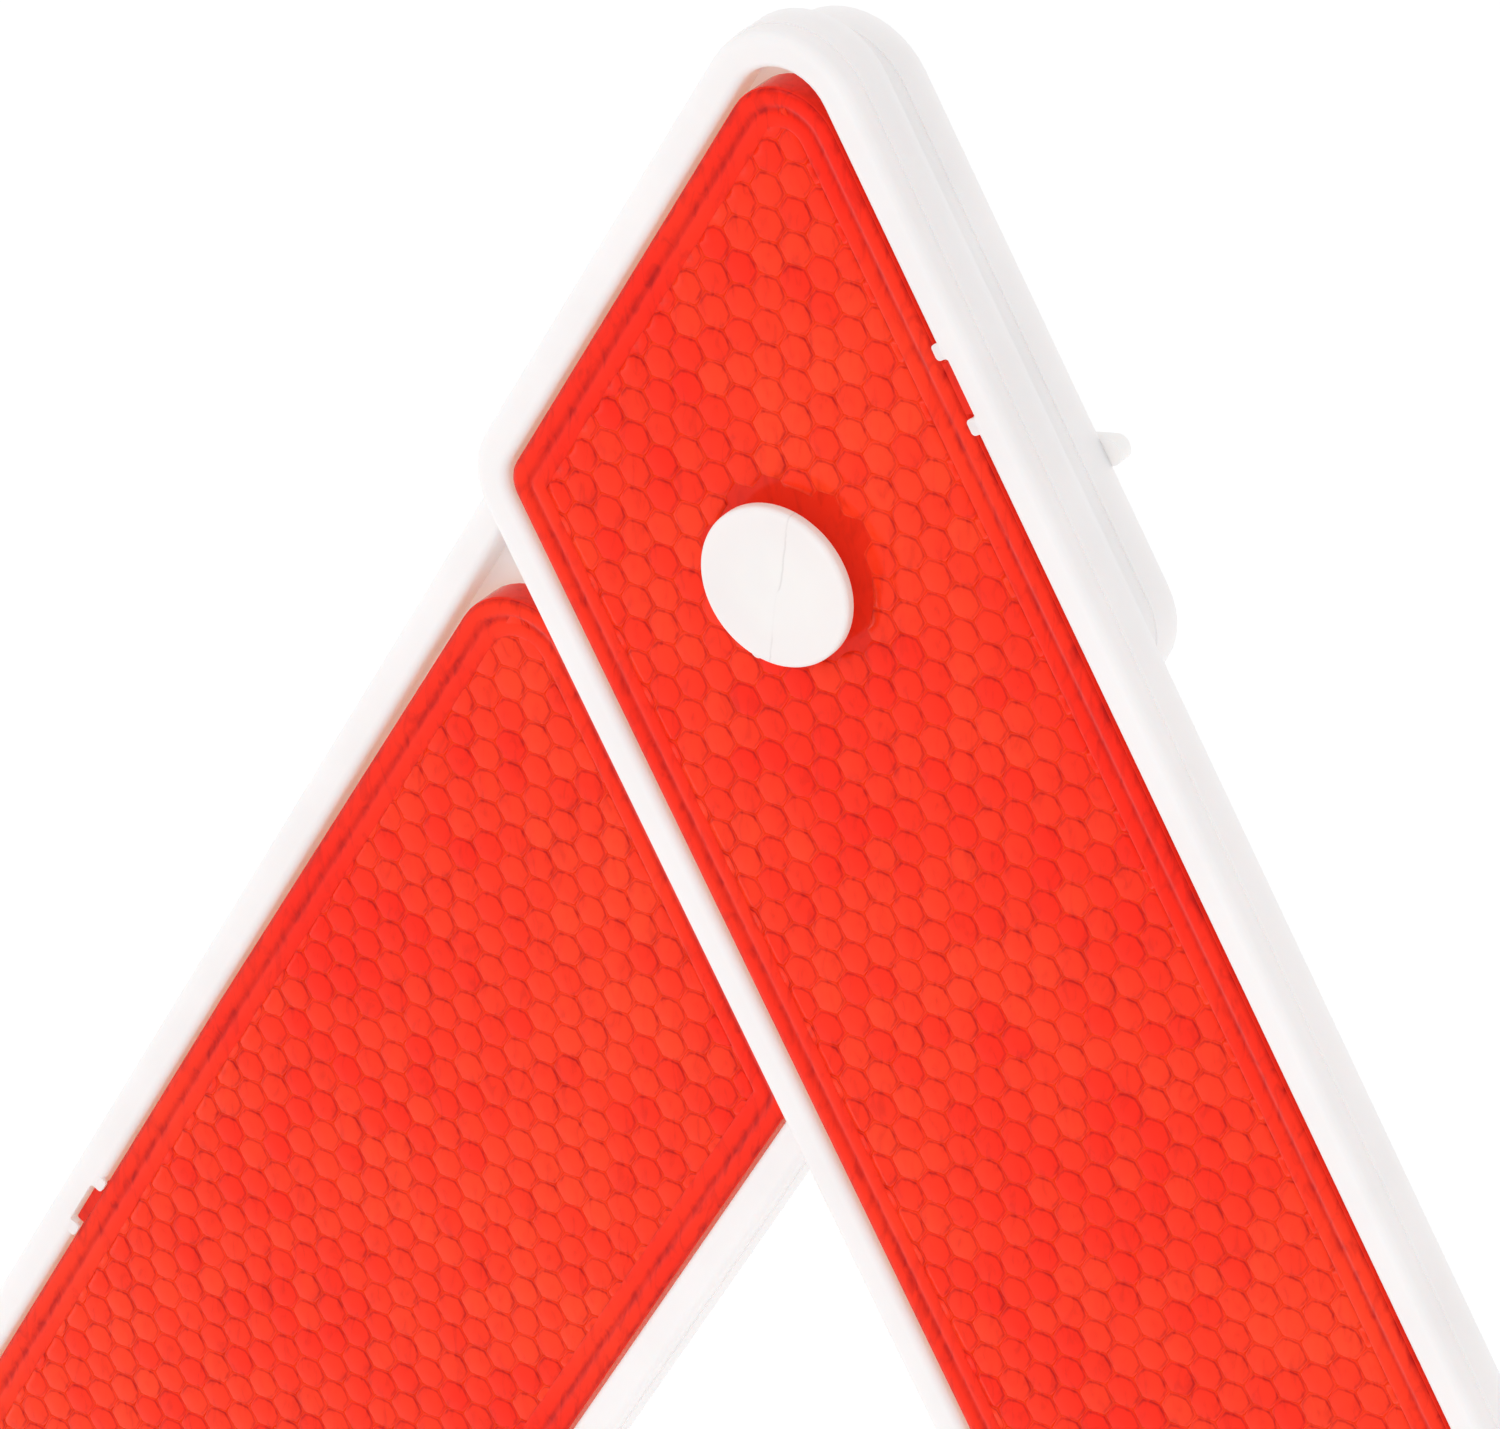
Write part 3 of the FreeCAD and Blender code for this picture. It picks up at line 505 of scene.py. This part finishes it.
@dataclass(frozen=True)
class LensShape:
    """Outline of a lens in its arm's axes, metres."""

    span: float                       # pivot to the crossing at the far end
    half_width: float = 21.85 * MM
    end_offset: float = 22.81 * MM    # sloped end, from the crossing
    tip_radius: float = 5.0 * MM
    shoulder_radius: float = 2.85 * MM
    lower_end: ArmEnd = ArmEnd.ROUND
    taper: float = 0.0                # outer side drawn in at the tip
    taper_run: float = 60.0 * MM      # over this length
    holes: tuple[tuple[float, float], ...] = ()   # (s, radius) of each round hole

    def sloped(self, inset: float, side: int) -> list[tuple[float, float, float]]:
        """Two rounded corners of a sloped end.

        Args:
            inset: distance inwards from the lens's edge.
            side: +1 at the far end, -1 at the pivot.

        Returns:
            The pointed corner, then the blunt one, each as (s, t, radius).
        """
        half = self.half_width - inset
        end = self.end_offset - inset
        middle = self.span / 2.0
        tip = middle + side * (middle + (end + half / 2.0) / COS30)
        shoulder = middle + side * (middle + (end - half / 2.0) / COS30)
        least = 0.05 * MM
        return [(tip, half, max(self.tip_radius - inset, least)),
                (shoulder, -half, max(self.shoulder_radius - inset, least))]

    def corners(self, inset: float) -> np.ndarray:
        """Corners (s, t, radius) of the outline, moved in by inset.

        A taper draws in the pointed corner and adds a wide one where the taper starts.
        """
        half = self.half_width - inset
        if self.lower_end is ArmEnd.SLOPED:
            low = self.sloped(inset, -1)[::-1]
        else:
            low = [(-half, -half, half), (-half, half, half)]
        high = self.sloped(inset, 1)
        if self.taper > 0.0:
            tip = high[0]
            high[0] = (tip[0] - self.taper / (2.0 * COS30), tip[1] - self.taper, tip[2])
            low.append((tip[0] - self.taper_run, half, 2.0 * self.taper_run))
        return np.array(high + low)

    def outline(self, inset: float, steps: int) -> np.ndarray:
        """Points of the outline moved in by inset, with each corner an arc.

        A corner's arc centre lies on the bisector at radius over the sine of half the
        corner's angle, and its points turn evenly between the two tangent points.

        Args:
            inset: distance inwards from the lens's edge.
            steps: points on each corner.

        Returns:
            Points (s, t), steps of them for each corner, in order round the lens.
        """
        corners = self.corners(inset)
        spots, radii = corners[:, :2], corners[:, 2]
        back = np.roll(spots, 1, axis=0) - spots
        ahead = np.roll(spots, -1, axis=0) - spots
        back /= np.linalg.norm(back, axis=1, keepdims=True)
        ahead /= np.linalg.norm(ahead, axis=1, keepdims=True)
        half = np.arccos(np.clip((back * ahead).sum(axis=1), -1.0, 1.0)) / 2.0
        bisector = back + ahead
        bisector /= np.linalg.norm(bisector, axis=1, keepdims=True)
        centres = spots + bisector * (radii / np.sin(half))[:, None]
        reach = (radii / np.tan(half))[:, None]
        start = spots + back * reach - centres
        end = spots + ahead * reach - centres
        first = np.arctan2(start[:, 1], start[:, 0])
        turn = np.arctan2(end[:, 1], end[:, 0]) - first
        turn = (turn + np.pi) % (2.0 * np.pi) - np.pi
        angles = first[:, None] + turn[:, None] * np.linspace(0.0, 1.0, steps)
        arcs = np.stack([np.cos(angles), np.sin(angles)], axis=-1) * radii[:, None, None]
        return (centres[:, None, :] + arcs).reshape(-1, 2)

    def confine(self, s: np.ndarray, t: np.ndarray, inset: float) -> tuple[np.ndarray, np.ndarray]:
        """Move points that lie outside the inset outline, or in a hole, onto its edge.

        Each straight edge is a half plane: a point past it moves back square to it. A
        round end and a hole move a point along its radius.

        Args:
            s: distances along the arm.
            t: distances towards the outside.
            inset: distance inwards from the lens's edge.

        Returns:
            The moved s and t.
        """
        half = self.half_width - inset
        end = self.end_offset - inset
        tip = self.sloped(inset, 1)[0][0]
        drawn = self.taper * np.clip((s - tip) / self.taper_run + 1.0, 0.0, 1.0)
        t = np.clip(t, -half, half - drawn)
        over = np.maximum(COS30 * (s - self.span) - 0.5 * t - end, 0.0)
        s = s - over / COS30
        if self.lower_end is ArmEnd.SLOPED:
            under = np.maximum(-COS30 * s - 0.5 * t - end, 0.0)
            s = s + under / COS30
        else:
            radius = np.hypot(s, t)
            scale = np.where((s < 0.0) & (radius > half), half / np.maximum(radius, MM), 1.0)
            s, t = s * scale, t * scale
        for centre, hole in self.holes:
            radius = np.maximum(np.hypot(s - centre, t), 0.01 * MM)    # never zero
            scale = np.where(radius < hole, hole / radius, 1.0)
            s, t = centre + (s - centre) * scale, t * scale
        return s, t


@dataclass
class Lens:
    """One reflex lens: its raised border and its field of six-sided cells."""

    name: str
    body: str
    axes: ArmAxes
    shape: LensShape
    pitch: float = 2.79 * MM          # cell to cell; one row of neighbours lies square across the arm
    border: float = 3.2 * MM          # smooth border round the cells
    flat_radius: float = 0.462        # rounded outline of a cell, in pitches, at its flats
    corner_radius: float = 0.5        # and at its corners
    groove_height: float = 0.05 * MM  # the groove's floor above the lens slab
    shoulder_height: float = 0.1 * MM
    dome_height: float = 0.17 * MM
    sheet_thickness: float = 0.1 * MM
    painted_shade_side: tuple[float, float] = (0.5, 0.87)   # across and up: the side of each cell's outline that gets the most painted shade
    painted_shade_mean: float = 0.48            # painted shade on a cell's outline
    painted_shade_swing: float = 0.42           # and how far it varies round the cell
    # strength of the painted shade across the border's profile
    border_shade: float = 0.75
    border_tone: float = -0.2
    cell_tone: float = 0.35           # spread of tone from cell to cell
    overhang: float = 0.35            # how far a cell may reach under the border, in pitches
    give: float = 0.2                 # and how far its centre may lie past that, in pitches
    hole_room: float = 0.1            # a centre stays this far from a hole's edge, in pitches

    def border_rail(self) -> bpy.types.Object:
        """Raised border: a closed profile carried round the lens's outline, with painted shade across it.

        The surface is p(i, j), the outline moved in by profile offset u(j) at path point
        i, at profile height v(j).
        """
        profile = np.array([(0.1, -0.2), (0.12, 0.0), (0.22, 0.12), (0.45, 0.21), (0.8, 0.25), (1.1, 0.25),
                            (1.35, 0.19), (1.55, 0.07), (1.75, 0.04), (1.9, 0.09), (2.1, 0.17), (2.5, 0.2),
                            (2.9, 0.18), (3.1, 0.12), (3.2, 0.05), (3.25, -0.2)]) * MM
        # painted shade across the border's profile, heaviest at its edges and in its groove, stored in the
        # groove attribute
        shade = np.array([1, 1, .7, .25, .1, .12, .4, .8, .85, .4, .05, 0, .1, .3, .6, 1])
        steps = 14
        rings = np.stack([self.shape.outline(u, steps) for u in profile[:, 0]], axis=1)
        count, width = rings.shape[:2]
        height = np.broadcast_to(profile[:, 1], (count, width))
        points = self.axes.place(rings[..., 0], rings[..., 1], height)
        i, j = np.meshgrid(np.arange(count), np.arange(width), indexing="ij")
        after, beside = (i + 1) % count, (j + 1) % width
        quads = np.stack([i * width + j, i * width + beside, after * width + beside, after * width + j],
                         axis=-1).reshape(-1, 4)
        obj = mesh_object(f"{self.name}_border", points, quads.tolist())
        turn_outwards(obj)
        add_attribute(obj, "groove", np.tile(shade, count) * self.border_shade)
        add_attribute(obj, "tone", np.full(count * width, self.border_tone))
        return obj

    def cell_centres(self) -> np.ndarray:
        """Centres (s, t) of the cells: rows square across the arm, each half a pitch on."""
        row = self.pitch * COS30
        spare_rows = 40
        side_cells = 12
        rows = np.arange(-spare_rows, int(self.shape.span / row) + spare_rows)
        across = np.arange(-side_cells, side_cells + 1)
        k, j = np.meshgrid(rows, across, indexing="ij")
        s = k * row
        t = (j + 0.5 * (k % 2)) * self.pitch
        centres = np.stack([s, t], axis=-1).reshape(-1, 2)
        inset = self.border - self.overhang * self.pitch
        moved = np.stack(self.shape.confine(centres[:, 0], centres[:, 1], inset), axis=-1)
        kept = np.linalg.norm(moved - centres, axis=1) < self.give * self.pitch
        for centre, hole in self.shape.holes:
            away = np.hypot(centres[:, 0] - centre, centres[:, 1])
            kept &= away > hole + self.hole_room * self.pitch
        return centres[kept]

    def cell_faces(self, count: int) -> list[list[int]]:
        """Faces of every cell: groove to shoulder, dome, wall down to the back, and back.

        Args:
            count: how many cells there are.

        Returns:
            Vertex indices of each face, facing outwards.
        """
        ring = np.arange(RING)
        ahead = (ring + 1) % RING
        centre = 2 * RING
        behind = centre + 1
        quads = np.concatenate([np.stack([ring, ahead, ahead + RING, ring + RING], axis=-1),
                                np.stack([ahead, ring, ring + behind, ahead + behind], axis=-1)])
        caps = np.stack([ring + RING, ahead + RING, np.full(RING, centre)], axis=-1)
        back = (ring + behind)[None, ::-1]
        start = (np.arange(count) * PLUG)[:, None, None]
        faces = []
        for group in (quads, caps, back):
            turned = group[:, ::-1] if self.axes.mirrored else group
            faces += (turned[None] + start).reshape(-1, group.shape[1]).tolist()
        return faces

    def cell_shades(self, obj: bpy.types.Object, count: int, tones: np.ndarray) -> None:
        """Store how far each point lies from its cell's middle, how much painted shade its side of the
        outline gets, and its tone.

        Args:
            obj: the cell sheet.
            count: how many cells there are.
            tones: one tone for each cell.
        """
        angles = np.radians(360.0 / RING) * np.arange(RING)
        rim = np.where(np.arange(RING) % 2 == 0, 1.26, 1.1)
        edge = np.concatenate([rim, np.ones(RING), [0.0], np.full(RING, 1.3)])
        along = self.axes.direction(self.axes.along_degrees)
        outward = self.axes.direction(self.axes.outward_degrees)
        # painted shade: each outline is drawn darkest on one side of the cell, fixed to the arm, so it
        # does not follow the lamps
        upward = np.cos(angles) * (along @ self.painted_shade_side) + np.sin(angles) * (outward @ self.painted_shade_side)
        painted_side_shade = np.concatenate([upward, upward, [0.0], upward]) * self.painted_shade_swing + self.painted_shade_mean
        add_attribute(obj, "edge", np.tile(edge, count))
        add_attribute(obj, "painted_side_shade", np.tile(painted_side_shade, count))
        add_attribute(obj, "tone", np.repeat(tones, PLUG))

    def cell_sheet(self) -> bpy.types.Object:
        """Field of domed cells, each a low closed plug.

        Every cell is two rings of twelve points, a centre and a flat back. The outer ring
        is the six-sided groove round it, whose radius swings between half a pitch and a
        pitch over root three. The inner ring is round and lies higher, and the centre is
        the dome's top. Points past the border are moved back onto its edge.

        Returns:
            One object that holds all the cells.
        """
        centres = self.cell_centres()
        count = len(centres)
        even = np.arange(RING) % 2 == 0
        angles = np.radians(360.0 / RING) * np.arange(RING)
        outer = np.where(even, self.pitch / math.sqrt(3.0), self.pitch / 2.0)
        rng = np.random.default_rng(17)
        inner = np.where(even, self.corner_radius, self.flat_radius) * self.pitch
        inner = inner * (1.0 + rng.uniform(-0.025, 0.02, size=(count, RING)))
        spokes = np.stack([np.cos(angles), np.sin(angles)], axis=-1)
        ring_out = np.broadcast_to(centres[:, None, :] + spokes * outer[:, None], (count, RING, 2))
        ring_in = centres[:, None, :] + spokes[None] * inner[..., None]
        flat = np.concatenate([ring_out, ring_in, centres[:, None, :], ring_out], axis=1)
        s, t = self.shape.confine(flat[..., 0], flat[..., 1], self.border - 0.1 * MM)
        heights = np.concatenate([np.full(RING, self.groove_height), np.full(RING, self.shoulder_height),
                                  [self.dome_height], np.full(RING, -self.sheet_thickness)])
        points = self.axes.place(s, t, np.broadcast_to(heights, (count, PLUG)))
        obj = mesh_object(f"{self.name}_cells", points, self.cell_faces(count))
        self.cell_shades(obj, count, rng.uniform(-self.cell_tone, self.cell_tone, count))
        return obj

    def build(self, material: bpy.types.Material) -> None:
        """Make both pieces, dress them and let them ride on the lens's body."""
        for obj in (self.border_rail(), self.cell_sheet()):
            dress(obj, material)
            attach(obj, self.body)
            LOG.info("%s: %d faces", obj.name, len(obj.data.polygons))


def turn_outwards(obj: bpy.types.Object) -> None:
    """Point the faces of a closed mesh outwards."""
    mesh = bmesh.new()
    mesh.from_mesh(obj.data)
    bmesh.ops.recalc_face_normals(mesh, faces=mesh.faces)
    mesh.to_mesh(obj.data)
    mesh.free()


# ---------------------------------------------------------------- feet


@dataclass
class FootPad:
    """Grip ribs round one rubber foot pad."""

    node: str
    body: str
    ribs: int = 6
    rib_width: float = 1.5 * MM
    rib_height: float = 0.5 * MM
    side_margin: float = 2.6 * MM
    end_margin: float = 4.5 * MM
    sunk: float = 0.1 * MM            # a rib's foot lies this far inside the pad
    rib_floor: float = 0.3 * MM       # and its underside this far

    def build(self, material: bpy.types.Material) -> None:
        """Raise evenly spaced ribs across the pad's top.

        A rib is a half sine over its width, z = height times sin(pi u), carried across
        the pad, whose ends fall off as the square root of one minus the fourth power.
        """
        low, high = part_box(self.node)
        across = np.linspace(-1.0, 1.0, 17)
        profile = np.linspace(0.0, 1.0, 9)
        half = (high.x - low.x) / 2.0 - self.side_margin
        middle_x = (high.x + low.x) / 2.0
        u, v = np.meshgrid(profile, across, indexing="ij")
        rise = np.sin(np.pi * u) * np.sqrt(np.clip(1.0 - v ** 4, 0.0, 1.0)) * self.rib_height
        points, faces, start = [], [], 0
        for place in np.linspace(low.y + self.end_margin, high.y - self.end_margin, self.ribs):
            x = middle_x + v * half
            y = place + (u - 0.5) * self.rib_width
            top = np.stack([x, y, high.z - self.sunk + rise], axis=-1).reshape(-1, 3)
            under = top.copy()
            under[:, 2] = high.z - self.rib_floor
            points += [top, under]
            faces += strip_faces(u.shape, start)
            start += 2 * u.size
        obj = mesh_object(f"{self.node}_ribs", np.concatenate(points), faces)
        turn_outwards(obj)
        dress(obj, material)
        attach(obj, self.body)
        LOG.info("%s: %d faces", obj.name, len(faces))


def strip_faces(grid: tuple[int, int], start: int) -> list[list[int]]:
    """Faces of a closed slab: a top grid, the same grid under it, and the walls.

    Args:
        grid: rows and columns of the top.
        start: index of the top's first point; the lower grid follows the top.

    Returns:
        Quads of the whole slab.
    """
    rows, columns = grid
    index = np.arange(rows * columns).reshape(rows, columns) + start
    under = index + rows * columns
    top = np.stack([index[:-1, :-1], index[1:, :-1], index[1:, 1:], index[:-1, 1:]],
                   axis=-1).reshape(-1, 4)
    bottom = np.stack([under[:-1, :-1], under[:-1, 1:], under[1:, 1:], under[1:, :-1]],
                      axis=-1).reshape(-1, 4)
    edge = np.concatenate([index[0, :], index[1:, -1], index[-1, -2::-1], index[-2:0:-1, 0]])
    low_edge = edge + rows * columns
    walls = np.stack([edge, np.roll(edge, -1), np.roll(low_edge, -1), low_edge], axis=-1)
    return np.concatenate([top, bottom, walls]).tolist()


# ---------------------------------------------------------------- studio


@dataclass(frozen=True)
class Studio:
    """Pale floor, soft light and the camera."""

    azimuth: float = 33.46
    elevation: float = 29.2
    roll: float = -0.61
    distance: float = 705.5 * MM
    aim_x: float = -3.7 * MM          # aim point beside the button's axis, on the rim's plane
    aim_z: float = -12.9 * MM         # and below it
    focal_mm: float = 225.1
    sensor_mm: float = 36.0
    ambient: float = 0.84
    floor_light: float = 0.17
    floor_reach: float = 6.0
    key_watts: float = 6.0
    key_size: float = 1.4
    key_place: tuple[float, float, float] = (-0.9, -1.3, 1.9)
    key_aim: tuple[float, float, float] = (0.0, 0.0, 0.3)

    def camera(self) -> None:
        """Stand the camera at its distance from the aim point, turned, raised and rolled."""
        button = middle_of("latch_button")
        rim_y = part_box("right_arm_frame")[0].y
        az, el, roll = (math.radians(v) for v in (self.azimuth, self.elevation, self.roll))
        ahead = Vector((-math.sin(az) * math.cos(el), math.cos(az) * math.cos(el), -math.sin(el)))
        level = Vector((math.cos(az), math.sin(az), 0.0))
        upward = level.cross(ahead)
        right = level * math.cos(roll) + upward * math.sin(roll)
        up = upward * math.cos(roll) - level * math.sin(roll)
        aim = Vector((button.x + self.aim_x, rim_y, button.z + self.aim_z))
        data = bpy.data.cameras.new("camera")
        data.lens = self.focal_mm
        data.sensor_width = self.sensor_mm
        data.clip_start = 0.01
        data.clip_end = 50.0
        obj = bpy.data.objects.new("camera", data)
        bpy.context.scene.collection.objects.link(obj)
        turned = Matrix((right, up, -ahead)).transposed().to_4x4()
        obj.matrix_world = Matrix.Translation(aim - ahead * self.distance) @ turned
        bpy.context.scene.camera = obj

    def floor(self) -> None:
        """Wide pale floor under the pads."""
        low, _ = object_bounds()
        reach = self.floor_reach
        corners = np.array([(-reach, -reach), (reach, -reach), (reach, reach), (-reach, reach)])
        points = np.column_stack([corners, np.full(4, low.z)])
        obj = mesh_object("studio_floor", points, [[0, 1, 2, 3]], smooth=False)
        material, tree = new_tree("floor_pale")
        shader = add_node(tree, "ShaderNodeBsdfPrincipled", {"Base Color": linear("FCFCFC"),
                          "Roughness": 0.95, "Specular IOR Level": 0.1,
                          "Emission Color": linear("FFFFFF"), "Emission Strength": self.floor_light})
        close_tree(tree, shader)
        dress(obj, material)
        obj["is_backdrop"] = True

    def light(self) -> None:
        """Even white surroundings and one large soft key, high on the left."""
        world = bpy.data.worlds.new("studio")
        world.use_nodes = True
        tree = world.node_tree
        tree.nodes.clear()
        path = add_node(tree, "ShaderNodeLightPath")
        strength = add_node(tree, "ShaderNodeMapRange", {"Value": path.outputs["Is Camera Ray"],
                            "To Min": self.ambient, "To Max": 1.0})
        shader = add_node(tree, "ShaderNodeBackground", {"Color": linear("FFFFFF"),
                          "Strength": strength.outputs["Result"]})
        add_node(tree, "ShaderNodeOutputWorld", {"Surface": shader.outputs[0]})
        bpy.context.scene.world = world
        data = bpy.data.lights.new("key", "AREA")
        data.energy = self.key_watts
        data.size = self.key_size
        obj = bpy.data.objects.new("key", data)
        obj.location = self.key_place
        toward = Vector(self.key_aim) - obj.location
        obj.rotation_euler = toward.to_track_quat("-Z", "Y").to_euler()
        bpy.context.scene.collection.objects.link(obj)

    def build(self) -> None:
        """Set up the whole studio."""
        bpy.context.scene.view_settings.view_transform = "Standard"
        self.camera()
        self.floor()
        self.light()


# ---------------------------------------------------------------- the triangle


@dataclass
class WarningTriangle:
    """Dresses the CAD nodes and adds lenses and pad ribs."""

    boss_hole: float = 10.4 * MM      # the hole that a boss stands in
    button_ring: float = 7.1 * MM     # plain ring of lens under the button's head
    boss_margin: float = 0.9 * MM     # plain ring of lens round a boss
    left_end: float = -28.2 * MM      # the left lens's sloped end, short of the crossing
    left_taper: float = 0.6 * MM
    left_tip: float = 6.0 * MM

    def finishes(self) -> dict[str, bpy.types.Material]:
        """One material for each slot of the record."""
        button = middle_of("latch_button")
        return {
            "white_abs": MouldedWhite().build(),
            "white_acetal": MouldedWhite("acetal_white_moulded", "F2EFED", "EEEBEA", roughness=0.34,
                                         ior=1.48).build(),
            "button": PartedButton("acetal_white_parted", "F1EEEC", "EDEAE9", roughness=0.36, ior=1.48,
                                   centre_x=button.x, centre_z=button.z).build(),
            "cells": ReflexLens().build(),
            "red_lens": ReflexLens("pmma_red_plain", "E4200C", "EA2A12", "A60A04").build(),
            "washer_nylon": MouldedWhite("nylon_natural", "E4E0D6", "D9D5CA", roughness=0.55).build(),
            "galvanised_steel": ZincPlate().build(),
            "black_rubber": PadRubber().build(),
        }

    def lenses(self) -> list[Lens]:
        """The three lenses, placed from the pivots and the lens nodes."""
        left = middle_of("left_pivot_rivet")
        right = middle_of("right_pivot_rivet")
        span = right.x - left.x
        boss = (0.0, self.boss_hole + self.boss_margin)
        button = (span, self.button_ring)
        faces = {n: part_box(f"{n}_lens")[0].y for n in ("right_arm", "left_arm", "base")}
        return [
            Lens("right_arm_lens", "right_arm", ArmAxes(right, 120.0, 30.0, faces["right_arm"]),
                 LensShape(span, holes=(boss, button))),
            Lens("left_arm_lens", "left_arm", ArmAxes(left, 60.0, 150.0, faces["left_arm"]),
                 LensShape(span, end_offset=self.left_end, tip_radius=self.left_tip,
                           taper=self.left_taper, holes=(boss,))),
            Lens("base_lens", "base", ArmAxes(left, 0.0, -90.0, faces["base"]),
                 LensShape(span, lower_end=ArmEnd.SLOPED, holes=(boss,))),
        ]

    def build(self) -> None:
        """Dress every CAD node by its slot, then add what Blender makes."""
        finishes = self.finishes()
        slots = {part["node"]: part["material_slot"] for part in frame["record"]["subparts"]}
        for name, obj in frame["nodes"].items():
            dress(obj, finishes["button"] if name == "latch_button" else finishes[slots[name]])
        for lens in self.lenses():
            lens.build(finishes["cells"])
        for side in ("left", "right"):
            for end in ("front", "back"):
                FootPad(f"{side}_foot_pad_{end}", f"{side}_foot").build(finishes["black_rubber"])


def main() -> None:
    """Build the looks."""
    logging.basicConfig(level=logging.INFO, format="%(name)s: %(message)s")
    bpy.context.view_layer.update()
    Studio().build()
    WarningTriangle().build()
    LOG.info("done")


if __name__ == "__main__":
    main()
